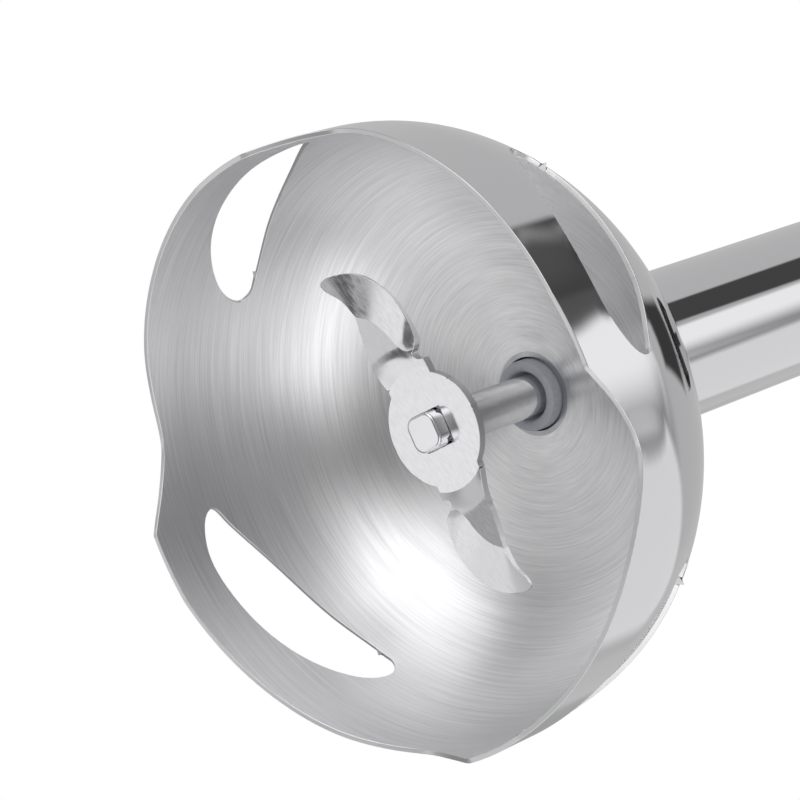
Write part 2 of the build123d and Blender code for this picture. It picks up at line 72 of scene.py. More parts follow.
MM = 0.001
TUBE_WALL = 0.8 * MM
SEAL_SQUEEZE = 0.25 * MM  # how much smaller the seal's outside is, pressed into the crown
LIP_GAP = 0.03 * MM  # between the seal's lip and the shaft
FOLD_GAP = 0.6 * MM  # from the blade's hub to the line where its wings start to twist
STUB_GAP = 0.02 * MM  # between the blade's hole and each flat of the shaft's stub
STUB_CORNER = 1.4 * MM
SAME_PLACE = 0.01 * MM  # vertices closer than this are one
# Studio for the mirrors: the room's own grey and its cards, each with the azimuth and elevation of its
# middle, half its width and half its height, its turn, all in degrees, the softness of its edge and its grey.
ROOM = 0.26
CARDS = [
    (0, 90, 34, 34, 0, 0.15, 0.55),
    (-44, -46, 24, 20, 20, 0.6, 1.9),
    (-62, -8, 16, 20, 0, 0.5, 1.9),
    (92, -48, 24, 16, 0, 0.6, 1.7),
    (180, -47, 24, 14, 0, 0.6, 1.05),
    (-122, -25, 28, 12, 0, 0.5, 0.7),
    (92, 4, 36, 16, 0, 0.5, 1.0),
    (144, -25, 14, 12, 0, 0.5, 1.25),
    (-84, 50, 24, 14, 0, 0.06, 0.57),
    (27, 50, 14.5, 14, 0, 0.12, 1.1),
    (52, 57, 9, 7, 0, 0.9, 0.3),
    (96, 50, 20.5, 14, 0, 0.12, 0.86),
    (150, 50, 8, 14, 0, 0.3, 0.6),
    (-11, 46.5, 15, 5, 0, 0.1, 0.1),
    (-22, 56, 10, 5.5, 0, 0.12, 0.07),
    (14, 82, 6, 9, 0, 0.2, 0.05),
    (186.5, -53, 5.8, 5.5, 0, 0.15, 0.12),
    (203, -47, 3.5, 3.5, 0, 0.2, 1.15),
    (200, -36, 6, 5, 0, 0.2, 0.42),
    (210, -42.5, 3.5, 5, 0, 0.2, 0.98),
]
QUARTERS = 4
CAD_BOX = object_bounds()
BLADE_HEIGHT = 13.5 * MM
MARGIN_PART = 2

# Outline of one rim arch as (along the skirt, height), and of one leaf window the same way, in
# millimetres. The arch's middle stands 60 degrees past the window's.
ARCH_TURN = 60.0
ARCH = [(-22.2, 0.0), (-18.4, 2.9), (-14.6, 4.7), (-12.3, 4.9), (-8.7, 4.3), (-1.3, 2.8), (9.3, 1.5),
        (22.2, 0.0)]
LEAF = [(14.1, 9.6), (10.4, 6.9), (4.9, 6.7), (-4.6, 8.7), (-12.5, 12.6), (-15.2, 16.2), (-13.2, 17.9),
        (-2.8, 16.7), (5.1, 14.8), (11.6, 11.7)]
# Lines of one blade wing as (along, across) in millimetres: its hollow edge out to where the ground margin
# begins, the line where grinding starts, the margin's outer edge round the tip, and the relief notch.
HOLLOW = [(6.33, -4.2), (8.8, -4.2), (11.7, -4.0), (15.6, -3.5)]
CREASE = [(15.6, -3.5), (14.2, -1.6), (12.4, -0.4), (10.6, 0.3), (9.4, 1.2), (9.2, 2.4)]
MARGIN = [(15.6, -3.5), (17.9, -4.2), (20.4, -5.8), (21.0, -4.4), (19.8, -0.4), (16.8, 2.4), (13.4, 3.6),
          (10.1, 3.3), (9.2, 2.4)]
NOTCH = [(9.2, 2.4), (8.8, 1.9), (8.3, 1.9), (7.95, 2.4), (7.8, 3.05)]


class BellSettings(bpy.types.PropertyGroup):
    """Sizes of the bell, with the crown hole round its seal."""
    sheet: FloatProperty(name="Sheet", description="Thickness of the drawn sheet", default=0.6 * MM,
                         unit="LENGTH")
    skirt: FloatProperty(name="Skirt", description="Height of the straight skirt", default=8.5 * MM,
                         unit="LENGTH")
    corner: FloatProperty(name="Corner", description="Outer radius of the rounded corner", default=22.3 * MM,
                          unit="LENGTH")
    sweep: FloatProperty(name="Corner sweep", description="Angle that the corner turns through",
                         default=radians(75), subtype="ANGLE")
    hole: FloatProperty(name="Crown hole", description="Radius of the hole round the seal", default=4.7 * MM,
                        unit="LENGTH")
    cell: FloatProperty(name="Cell", description="Spacing of the sheet's mesh", default=1.0 * MM,
                        unit="LENGTH")
    edge: FloatProperty(name="Edge", description="Rounding of the cut edges", default=0.08 * MM,
                        unit="LENGTH")


class BladeSettings(bpy.types.PropertyGroup):
    """Sizes of the blade and its shaft."""
    azimuth: FloatProperty(name="Azimuth", description="Direction of the first wing", default=radians(108),
                           subtype="ANGLE")
    hub: FloatProperty(name="Hub", description="Radius of the flat hub", default=6.8 * MM, unit="LENGTH")
    thickness: FloatProperty(name="Thickness", description="Thickness of the plate", default=1.0 * MM,
                             unit="LENGTH")
    tilt: FloatProperty(name="Tilt", description="Tilt of each wing about its convex edge", default=radians(5),
                        subtype="ANGLE")
    drop: FloatProperty(name="Drop", description="Height that each wing drops as it leaves the hub",
                        default=0.3 * MM, unit="LENGTH")
    pivot: FloatProperty(name="Twist line", description="Distance of the line that each wing twists about",
                         default=3.4 * MM, unit="LENGTH")
    twist_run: FloatProperty(name="Twist run", description="Distance from the hub over which a wing twists",
                             default=3.2 * MM, unit="LENGTH")
    grind: FloatProperty(name="Grind", description="Angle of the ground margin", default=radians(7),
                         subtype="ANGLE")
    edge: FloatProperty(name="Cutting edge", description="Thickness left at the cutting edge",
                        default=0.45 * MM, unit="LENGTH")
    cell: FloatProperty(name="Cell", description="Spacing of the blade's mesh", default=0.45 * MM,
                        unit="LENGTH")
    stub_flats: FloatProperty(name="Stub flats", description="Width of the shaft's square end",
                              default=4.4 * MM, unit="LENGTH")


class StageSettings(bpy.types.PropertyGroup):
    """Camera, floor and light."""
    lens: FloatProperty(name="Lens", description="Focal length on a 36 mm sensor", default=139.1,
                        unit="CAMERA")
    place: FloatVectorProperty(name="Camera", description="Where the camera stands",
                               default=(0.2210, 0.0933, -0.2436), subtype="TRANSLATION")
    ahead: FloatVectorProperty(name="Ahead", description="Direction in which the camera looks",
                               default=(-0.62816, -0.27899, 0.72634), subtype="DIRECTION")
    over: FloatVectorProperty(name="Over", description="Direction of the top of the frame",
                              default=(0.60019, -0.76780, 0.22415), subtype="DIRECTION")
    light: FloatProperty(name="Light", description="Brightness of the studio", default=1.0, min=0.0)
    floor: FloatProperty(name="Floor", description="Radius of the floor disc", default=1.2, unit="LENGTH")


def linear(colour):
    """Linear RGBA for an sRGB hex colour such as "C8C8CA"."""
    shares = [int(colour[i:i + 2], 16) / 255 for i in (0, 2, 4)]
    return tuple(s / 12.92 if s <= 0.04045 else ((s + 0.055) / 1.055) ** 2.4 for s in shares) + (1.0,)


def add(tree, kind, values=None, links=None, **settings):
    """Adds a node: settings are its properties, values its inputs' constants and links their sources."""
    made = tree.nodes.new(kind)
    for name, value in settings.items():
        setattr(made, name, value)
    for key, value in (values or {}).items():
        made.inputs[key].default_value = value
    for key, source in (links or {}).items():
        tree.links.new(source, made.inputs[key])
    return made


def start(name, colour, metallic, roughness, **values):
    """New material with a Principled shader that holds its constant values."""
    material = bpy.data.materials.new(name)
    material.use_nodes = True
    tree = material.node_tree
    shader = tree.nodes["Principled BSDF"]
    shader.inputs["Base Color"].default_value = linear(colour)
    shader.inputs["Metallic"].default_value = metallic
    shader.inputs["Roughness"].default_value = roughness
    for key, value in values.items():
        shader.inputs[key.replace("_", " ")].default_value = value
    return material, tree, shader


def grain(tree, shader, size, height, strength=1.0, stretch=(1, 1, 1), detail=3.0):
    """Bump from noise whose lumps are size across and height high, in metres, on Object coordinates."""
    place = add(tree, "ShaderNodeTexCoord")
    scaled = add(tree, "ShaderNodeMapping", {"Scale": stretch}, {"Vector": place.outputs["Object"]})
    noise = add(tree, "ShaderNodeTexNoise", {"Scale": 1 / size, "Detail": detail},
                {"Vector": scaled.outputs[0]})
    bump = add(tree, "ShaderNodeBump", {"Strength": strength, "Distance": height},
               {"Height": noise.outputs["Fac"]})
    tree.links.new(bump.outputs[0], shader.inputs["Normal"])
    return noise


def vary(tree, shader, socket, source, low, high):
    """Lets a pattern move a socket between two values."""
    spread = add(tree, "ShaderNodeMapRange", {"From Min": 0.3, "From Max": 0.7, "To Min": low, "To Max": high},
                 {"Value": source})
    tree.links.new(spread.outputs[0], shader.inputs[socket])


def tint(tree, shader, source, dark, light):
    """Lets a pattern move the colour between two hex colours."""
    ramp = add(tree, "ShaderNodeValToRGB", None, {"Fac": source})
    for stop, place, colour in zip(ramp.color_ramp.elements, (0.3, 0.7), (dark, light)):
        stop.position = place
        stop.color = linear(colour)
    tree.links.new(ramp.outputs["Color"], shader.inputs["Base Color"])


def mirror_steel():
    """Stainless sheet, drawn and buffed: a clear mirror with the faint swell that drawing leaves."""
    material, tree, shader = start("stainless_buffed", "DCDCDE", 1.0, 0.045)
    swell = grain(tree, shader, 9 * MM, 0.010 * MM, detail=1.0)
    vary(tree, shader, "Roughness", swell.outputs["Fac"], 0.03, 0.07)
    return material


def ring_direction(tree, place):
    """Unit vector round the tool axis at each point, in world space, for the lie of turned brush marks."""
    flat = add(tree, "ShaderNodeVectorMath", {1: (1, 1, 0)}, {0: place.outputs["Object"]},
               operation="MULTIPLY")
    out = add(tree, "ShaderNodeVectorMath", None, {0: flat.outputs[0]}, operation="NORMALIZE")
    along = add(tree, "ShaderNodeVectorMath", {0: (0, 0, 1)}, {1: out.outputs[0]}, operation="CROSS_PRODUCT")
    turned = add(tree, "ShaderNodeVectorTransform", None, {0: along.outputs[0]}, vector_type="VECTOR",
                 convert_from="OBJECT", convert_to="WORLD")
    return out, turned


def brushed_steel_inside():
    """Stainless sheet brushed in circles on a lathe: light fans out from the crown, crossed by fine rings."""
    material, tree, shader = start("stainless_brushed_round", "D2D2D3", 1.0, 0.34, Anisotropic=0.85,
                                   Anisotropic_Rotation=0.25)
    place = add(tree, "ShaderNodeTexCoord")
    out, turned = ring_direction(tree, place)
    tree.links.new(turned.outputs[0], shader.inputs["Tangent"])
    sheet = add(tree, "ShaderNodeUVMap", uv_map="sheet")
    height = add(tree, "ShaderNodeSeparateXYZ", None, {0: sheet.outputs[0]})
    bearing = add(tree, "ShaderNodeSeparateXYZ", None, {0: out.outputs[0]})
    marks = []
    # Spacing across the marks in metres, and how many lengths of mark go round the bell.
    for spacing, rounds in ((0.22 * MM, 2.2), (1.1 * MM, 1.1)):
        across = add(tree, "ShaderNodeMath", {1: 1 / spacing}, {0: height.outputs[1]}, operation="MULTIPLY")
        lie = add(tree, "ShaderNodeCombineXYZ", None, {2: across.outputs[0]})
        for axis in (0, 1):
            scaled = add(tree, "ShaderNodeMath", {1: rounds}, {0: bearing.outputs[axis]},
                         operation="MULTIPLY")
            tree.links.new(scaled.outputs[0], lie.inputs[axis])
        marks.append(add(tree, "ShaderNodeTexNoise", {"Scale": 1.0, "Detail": 4.0, "Roughness": 0.6},
                         {"Vector": lie.outputs[0]}))
    fine = add(tree, "ShaderNodeBump", {"Strength": 0.25, "Distance": 0.003 * MM},
               {"Height": marks[0].outputs["Fac"]})
    both = add(tree, "ShaderNodeBump", {"Strength": 0.3, "Distance": 0.008 * MM},
               {"Height": marks[1].outputs["Fac"], "Normal": fine.outputs[0]})
    tree.links.new(both.outputs[0], shader.inputs["Normal"])
    tint(tree, shader, marks[0].outputs["Fac"], "D6D6D8", "EEEEEF")
    vary(tree, shader, "Roughness", marks[1].outputs["Fac"], 0.30, 0.38)
    return material


def sheared_edge():
    """Edge of stainless sheet, sheared and tumbled: bright with a fine drag."""
    material, tree, shader = start("stainless_sheared_edge", "DEDEDF", 1.0, 0.3)
    grain(tree, shader, 0.3 * MM, 0.002 * MM)
    return material


def blade_steel():
    """Blade stainless, stamped, ground and polished: nearly a mirror, with fine grinding lines along it."""
    material, tree, shader = start("stainless_ground_blade", "D8D8DA", 1.0, 0.13)
    lines = grain(tree, shader, 0.25 * MM, 0.0008 * MM, stretch=(1, 0.2, 1))
    vary(tree, shader, "Roughness", lines.outputs["Fac"], 0.09, 0.18)
    return material


def ground_steel():
    """Steel rod, centreless-ground: a soft mirror with fine rings round it."""
    material, tree, shader = start("stainless_centreless_ground", "D6D6D8", 1.0, 0.09)
    rings = grain(tree, shader, 0.3 * MM, 0.002 * MM, stretch=(0.1, 0.1, 1))
    vary(tree, shader, "Roughness", rings.outputs["Fac"], 0.07, 0.12)
    return material


def turned_steel():
    """Small steel parts, turned and zinc-plated: satin with tool rings."""
    material, tree, shader = start("steel_turned_plated", "B4B5B8", 1.0, 0.30)
    rings = grain(tree, shader, 0.25 * MM, 0.004 * MM, stretch=(0.1, 0.1, 1))
    vary(tree, shader, "Roughness", rings.outputs["Fac"], 0.24, 0.38)
    return material


def brushed_band():
    """Stainless strip, belt-brushed along its length: satin with rings round the handle."""
    material, tree, shader = start("stainless_belt_brushed", "C6C6C8", 1.0, 0.30, Anisotropic=0.6,
                                   Anisotropic_Rotation=0.25)
    place = add(tree, "ShaderNodeTexCoord")
    turned = ring_direction(tree, place)[1]
    tree.links.new(turned.outputs[0], shader.inputs["Tangent"])
    grain(tree, shader, 0.3 * MM, 0.006 * MM, stretch=(0.05, 0.05, 1))
    return material


def rubber(name, colour, worn, roughness, size):
    """Moulded rubber: matt, slightly mottled, with the fine spark grain of its mould."""
    material, tree, shader = start(name, colour, 0.0, roughness, IOR=1.52, Specular_IOR_Level=0.4)
    mottle = grain(tree, shader, size, 0.02 * MM)
    tint(tree, shader, mottle.outputs["Fac"], colour, worn)
    return material


def moulded(name, colour, shade, roughness, size=0.5 * MM, height=0.012 * MM):
    """Injection-moulded plastic: even colour, fine texture from the mould, soft gloss."""
    material, tree, shader = start(name, colour, 0.0, roughness, IOR=1.53)
    texture = grain(tree, shader, size, height)
    vary(tree, shader, "Roughness", texture.outputs["Fac"], roughness - 0.05, roughness + 0.06)
    tint(tree, shader, texture.outputs["Fac"], shade, colour)
    return material


def cast_metal(name, colour, shade, roughness, size):
    """Cast, sintered or pressed metal: pitted and uneven, without a mirror."""
    material, tree, shader = start(name, colour, 1.0, roughness)
    pits = grain(tree, shader, size, 0.03 * MM, detail=5.0)
    vary(tree, shader, "Roughness", pits.outputs["Fac"], roughness - 0.1, roughness + 0.1)
    tint(tree, shader, pits.outputs["Fac"], shade, colour)
    return material


def laminations():
    """Electrical steel, stamped and stacked in 0.5 mm sheets: dark, with a line between sheets."""
    material, tree, shader = start("silicon_steel_stacked", "6E6F73", 1.0, 0.45)
    place = add(tree, "ShaderNodeTexCoord")
    lines = add(tree, "ShaderNodeTexWave", {"Scale": 1 / (0.5 * MM) / (2 * pi), "Distortion": 0.2},
                {"Vector": place.outputs["Object"]}, bands_direction="Z")
    bump = add(tree, "ShaderNodeBump", {"Strength": 0.6, "Distance": 0.05 * MM},
               {"Height": lines.outputs["Fac"]})
    tree.links.new(bump.outputs[0], shader.inputs["Normal"])
    tint(tree, shader, lines.outputs["Fac"], "3F4043", "7B7C80")
    return material


def enamelled_copper():
    """Enamelled copper wire, wound: red-brown lacquer gloss with a groove between turns, and painted shade that
    darkens the colour in each groove.
    """
    material, tree, shader = start("copper_enamelled_wound", "A4541F", 0.9, 0.30, Coat_Weight=0.5)
    place = add(tree, "ShaderNodeTexCoord")
    turns = add(tree, "ShaderNodeTexWave", {"Scale": 1 / (0.45 * MM) / (2 * pi), "Distortion": 1.0},
                {"Vector": place.outputs["Object"]}, bands_direction="DIAGONAL")
    bump = add(tree, "ShaderNodeBump", {"Strength": 0.8, "Distance": 0.1 * MM},
               {"Height": turns.outputs["Fac"]})
    tree.links.new(bump.outputs[0], shader.inputs["Normal"])
    # Painted shade: the bands that cut the grooves also darken the colour towards each groove.
    tint(tree, shader, turns.outputs["Fac"], "6A2F12", "B86A2E")
    return material


def finishes():
    """One material for each slot of the record."""
    mirror = mirror_steel()
    return {
        "bell_steel": mirror,
        "polished_tube": mirror,
        "blade_steel": blade_steel(),
        "shaft_steel": ground_steel(),
        "turned_steel": turned_steel(),
        "seal_rubber": rubber("nitrile_moulded_grey", "A3A6AD", "AEB1B8", 0.55, 0.4 * MM),
        "bush_bronze": cast_metal("bronze_sintered", "A87B45", "7A5529", 0.45, 0.2 * MM),
        "bearing_nylon": moulded("nylon_moulded_natural", "DAD7CB", "CBC7B8", 0.45),
        "driver_rubber": rubber("rubber_moulded_black", "161616", "222222", 0.6, 0.4 * MM),
        "collar_plastic": moulded("abs_moulded_black", "17181A", "101112", 0.35),
        "band_steel": brushed_band(),
        "casing_plastic": moulded("abs_moulded_grey", "CFD0D2", "C4C5C7", 0.42),
        "grip_rubber": rubber("tpe_overmoulded_charcoal", "25262A", "303136", 0.7, 0.5 * MM),
        "button_plastic": rubber("tpe_moulded_button", "1C1D20", "27282C", 0.6, 0.4 * MM),
        "dial_plastic": moulded("abs_moulded_dial", "1A1B1E", "121316", 0.30),
        "bracket_alloy": cast_metal("aluminium_die_cast", "B9BABD", "9C9DA0", 0.45, 0.6 * MM),
        "lamination_steel": laminations(),
        "coil_enamel": enamelled_copper(),
        "commutator_copper": cast_metal("copper_turned", "C97C4A", "A45F33", 0.30, 0.3 * MM),
        "brush_carbon": cast_metal("carbon_pressed", "2B2B2D", "1B1B1C", 0.65, 0.2 * MM),
        "spring_wire": cast_metal("spring_wire_drawn", "A9AAAD", "8D8E91", 0.30, 0.2 * MM),
        "board_laminate": moulded("glass_epoxy_laminate", "2D5B37", "24492C", 0.40, 0.3 * MM),
        "component_plastic": moulded("pbt_moulded_black", "1E1F22", "151618", 0.40),
        "choke_ferrite": moulded("ferrite_pressed", "3A3A3C", "2C2C2E", 0.70, 0.2 * MM, 0.03 * MM),
        "lead_insulation": moulded("pvc_extruded_red", "9A2A22", "84211A", 0.40),
    }


def smooth(points, steps, closed=False):
    """Places along a smooth curve through a few (x, y) points, with some steps between each two of them."""
    knots = [Vector(p).to_3d() for p in points]
    count = len(knots)
    line = []
    for i in range(count if closed else count - 1):
        a, b = knots[i], knots[(i + 1) % count]
        before = knots[i - 1] if closed or i else a
        after = knots[(i + 2) % count] if closed or i < count - 2 else b
        reach = (b - a).length / 3
        leave, arrive = (b - before).normalized() * reach, (after - a).normalized() * reach
        line += interpolate_bezier(a, a + leave, b - arrive, b, steps + 1)[:steps]
    return line if closed else line + [knots[-1]]


def arc(radius, first, last, steps):
    """Places along a circle about the origin, from one angle to another."""
    turn = (last - first) / steps
    bearings = [first + turn * i for i in range(steps + 1)]
    return [Vector((radius * cos(bearing), radius * sin(bearing), 0)) for bearing in bearings]


def polygon(bm, points):
    """One face through a list of places."""
    return bm.faces.new([bm.verts.new(p) for p in points])


def cut(bm, spots, axis, faces=None):
    """Cuts flat faces by planes across one axis, a line at each spot."""
    for spot in spots:
        keep = [f for f in (faces or bm.faces) if f.is_valid]
        geom = keep + list({e for f in keep for e in f.edges}) + list({v for f in keep for v in f.verts})
        made = bmesh.ops.bisect_plane(bm, geom=geom, dist=1e-7, plane_co=axis * spot, plane_no=axis)
        if faces is not None:
            faces = list({g for g in made["geom"] if isinstance(g, bmesh.types.BMFace)})
    return faces


def lathe(bm, profile, steps):
    """Solid turned about Z from a closed outline of (radius, height) places."""
    verts = [bm.verts.new((r, 0, z)) for r, z in profile]
    edges = [bm.edges.new((verts[i - 1], verts[i])) for i in range(len(verts))]
    bmesh.ops.spin(bm, geom=verts + edges, cent=(0, 0, 0), axis=(0, 0, 1), dvec=(0, 0, 0), angle=2 * pi,
                   steps=steps, use_merge=True)


def rounded(bm, edges, width, segments):
    """Bevels some edges and returns what it made."""
    return bmesh.ops.bevel(bm, geom=edges, offset=width, offset_type="OFFSET", affect="EDGES", segments=segments,
                           profile=0.5, material=-1, clamp_overlap=True)


def piece(name, bm, materials, body, slot, *nodes, smooth_angle=None):
    """Object from a bmesh, riding on a body in place of some CAD nodes."""
    mesh = bpy.data.meshes.new(name)
    bm.to_mesh(mesh)
    bm.free()
    mesh.shade_smooth()
    if smooth_angle is not None:
        mesh.set_sharp_from_angle(angle=smooth_angle)
    made = bpy.data.objects.new(name, mesh)
    bpy.context.scene.collection.objects.link(made)
    for material in materials:
        mesh.materials.append(bpy.data.materials[material])
    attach(made, body)
    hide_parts(*nodes)
    return made


def round_edges(made, width, angle, segments=2):
    """Rounds the sharp edges of a piece and keeps its faces' own shading."""
    bevel = made.modifiers.new("rounded edges", "BEVEL")
    bevel.width = width
    bevel.segments = segments
    bevel.limit_method = "ANGLE"
    bevel.angle_limit = angle
    bevel.use_clamp_overlap = False
    bevel.harden_normals = True


class Dome:
    """The bell's outside as a path from the rim over the skirt, corner and crown."""

    def __init__(self, size):
        self.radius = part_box("bell")[1].x
        self.skirt = size.skirt
        self.corner = size.corner
        self.sweep = size.sweep
        self.middle = self.radius - size.corner
        self.crown = size.corner + self.middle / cos(size.sweep)
        self.centre = size.skirt - self.middle * tan(size.sweep)
        self.shoulder = size.skirt + size.corner * size.sweep
        self.length = self.shoulder + self.crown * (pi / 2 - size.sweep - asin(size.hole / self.crown))

    def place(self, run):
        """(radius, height) after some distance along the path."""
        if run <= self.skirt:
            return self.radius, run
        if run <= self.shoulder:
            turn = (run - self.skirt) / self.corner
            return self.middle + self.corner * cos(turn), self.skirt + self.corner * sin(turn)
        turn = self.sweep + (run - self.shoulder) / self.crown
        return self.crown * cos(turn), self.centre + self.crown * sin(turn)

    def flatten(self, point, azimuth):
        """Place on the unrolled sheet of an outline's (across, height) point, seen from an azimuth."""
        across, run = point.x, point.y
        if run > self.skirt:
            run = self.skirt + self.corner * asin((run - self.skirt) / self.corner)
        return Vector((self.radius * (azimuth + asin(across / self.place(run)[0])), run, 0))


def flat_sheet(bm, dome, cell):
    """A quarter of the bell's sheet, unrolled: one window and the arches below it, cut into cells."""
    steps = 6
    leaf = [dome.flatten(p * MM, radians(90)) for p in smooth(LEAF, steps, closed=True)]
    low_end, high_end = 0, 5 * steps
    below, above = leaf[low_end:high_end + 1], leaf[high_end:] + leaf[:1]
    arches = []
    for azimuth in (ARCH_TURN, ARCH_TURN + 90):
        arches += [dome.flatten(p * MM, radians(azimuth)) for p in smooth(ARCH, steps)]
    left, right = dome.radius * radians(15), dome.radius * radians(195)
    polygon(bm, [(left, 0, 0)] + arches + [(right, 0, 0), (right, below[0].y, 0)] + below
            + [(left, below[-1].y, 0)])
    polygon(bm, [(left, above[0].y, 0)] + above + [(right, above[-1].y, 0), (right, dome.length, 0),
            (left, dome.length, 0)])
    start, end = dome.radius * radians(45), dome.radius * radians(135)
    for edge, side in ((start, -1), (end, 1)):
        bmesh.ops.bisect_plane(bm, geom=bm.verts[:] + bm.edges[:] + bm.faces[:], dist=1e-7,
                               plane_co=(edge, 0, 0), plane_no=(side, 0, 0), clear_outer=True)
    rows = int(dome.length / cell)
    cut(bm, [dome.length * i / rows for i in range(1, rows)] + [below[0].y, above[0].y], Vector((0, 1, 0)))
    columns = int((end - start) / (1.25 * cell))
    cut(bm, [start + (end - start) * i / columns for i in range(1, columns)], Vector((1, 0, 0)))
    bmesh.ops.remove_doubles(bm, verts=bm.verts[:], dist=SAME_PLACE)


def drop_slivers(bm, gap):
    """Welds vertices closer than the gap, along the outlines first, then inner ones onto the outlines."""
    bmesh.ops.remove_doubles(bm, verts=[vert for vert in bm.verts if vert.is_boundary], dist=gap)
    outline = [vert for vert in bm.verts if vert.is_boundary]
    near = bmesh.ops.find_doubles(bm, verts=bm.verts[:], keep_verts=outline, dist=gap)
    bmesh.ops.weld_verts(bm, targetmap=near["targetmap"])


class STICKBLENDER_OT_bell(bpy.types.Operator):
    """Bell: a sheet with four windows and a scalloped rim, mirror outside and brushed inside"""
    bl_idname = "stickblender.bell"
    bl_label = "Bell"

    def execute(self, context):
        size = context.scene.stickblender_bell
        dome = Dome(size)
        bm = bmesh.new()
        flat_sheet(bm, dome, size.cell)
        sheet = bm.loops.layers.uv.new("sheet")
        for face in bm.faces:
            for loop in face.loops:
                loop[sheet].uv = loop.vert.co.xy
        for vert in bm.verts:
            bearing = vert.co.x / dome.radius
            radius, height = dome.place(vert.co.y)
            vert.co = (radius * cos(bearing), radius * sin(bearing), height)
        bmesh.ops.spin(bm, geom=bm.verts[:] + bm.edges[:] + bm.faces[:], cent=(0, 0, 0), axis=(0, 0, 1),
                       dvec=(0, 0, 0), angle=radians(270), steps=QUARTERS - 1, use_duplicate=True)
        bmesh.ops.remove_doubles(bm, verts=bm.verts[:], dist=SAME_PLACE)
        drop_slivers(bm, size.cell / 5)
        bmesh.ops.recalc_face_normals(bm, faces=bm.faces[:])
        bell = piece("bell_shell", bm, ("stainless_buffed", "stainless_brushed_round", "stainless_sheared_edge"),
                     "foot", "bell_steel", "bell")
        wall = bell.modifiers.new("sheet thickness", "SOLIDIFY")
        wall.thickness = size.sheet
        wall.offset = -1
        wall.use_even_offset = True
        wall.material_offset = 1
        wall.material_offset_rim = 2
        round_edges(bell, size.edge, radians(40))
        return {"FINISHED"}


class STICKBLENDER_OT_tube(bpy.types.Operator):
    """Tube: three-quarter inch steel tube with a polished weld where it leaves the bell"""
    bl_idname = "stickblender.tube"
    bl_label = "Tube"

    def execute(self, context):
        low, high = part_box("shaft_tube")
        radius, bore = high.x, high.x - TUBE_WALL
        bm = bmesh.new()
        weld = [(radius + 1.1 * MM, low.z - 0.12 * MM), (radius + 0.5 * MM, low.z + 0.35 * MM),
                (radius + 0.12 * MM, low.z + 0.9 * MM), (radius, low.z + 1.6 * MM), (radius, low.z + 2 * MM)]
        lathe(bm, [(bore, low.z)] + weld + [(radius, high.z), (bore, high.z)], 128)
        bmesh.ops.recalc_face_normals(bm, faces=bm.faces[:])
        piece("shaft_tube_polished", bm, ("stainless_buffed",), "foot", "polished_tube", "shaft_tube",
              smooth_angle=radians(30))
        return {"FINISHED"}


def flat_wing(bm, size):
    """Half of the blade's plate, flat and looking along +X: half the hub, a wing and its ground margin."""
    part = bm.faces.layers.int.new("part")
    hub, fold = size.hub, size.hub + FOLD_GAP
    hole = size.stub_flats / 2 + STUB_GAP
    drawn = (HOLLOW, NOTCH, CREASE, MARGIN)
    hollow, notch, crease, margin = ([p * MM for p in smooth(line, 4)] for line in drawn)
    low, high = hollow[0].y, notch[-1].y
    bend = arc(fold, asin(low / fold), asin(high / fold), 16)
    corners = [Vector((x * hole, y * hole, 0)) for x, y in ((0, 1), (1, 1), (1, -1), (0, -1))]
    outlines = [arc(hub, -pi / 2, asin(low / hub), 12) + bend + arc(hub, asin(high / hub), pi / 2, 12) + corners,
                hollow + crease[1:] + notch[1:] + bend[::-1][:-1],
                margin + crease[::-1][1:-1]]
    for i, outline in enumerate(outlines):
        polygon(bm, outline)[part] = i
    bmesh.ops.remove_doubles(bm, verts=bm.verts[:], dist=SAME_PLACE)
    lines = int(MM * 32 / size.cell)
    cut(bm, [size.cell * i for i in range(1, lines)], Vector((1, 0, 0)))
    cut(bm, [size.cell * i for i in range(-lines // 2, lines // 2)], Vector((0, 1, 0)))
    bmesh.ops.remove_doubles(bm, verts=bm.verts[:], dist=size.cell / 4)
    for edge in bm.edges:
        edge.smooth = len({face[part] for face in edge.link_faces}) == 1
    return [p * MM for p in smooth(CREASE, 60)], fold


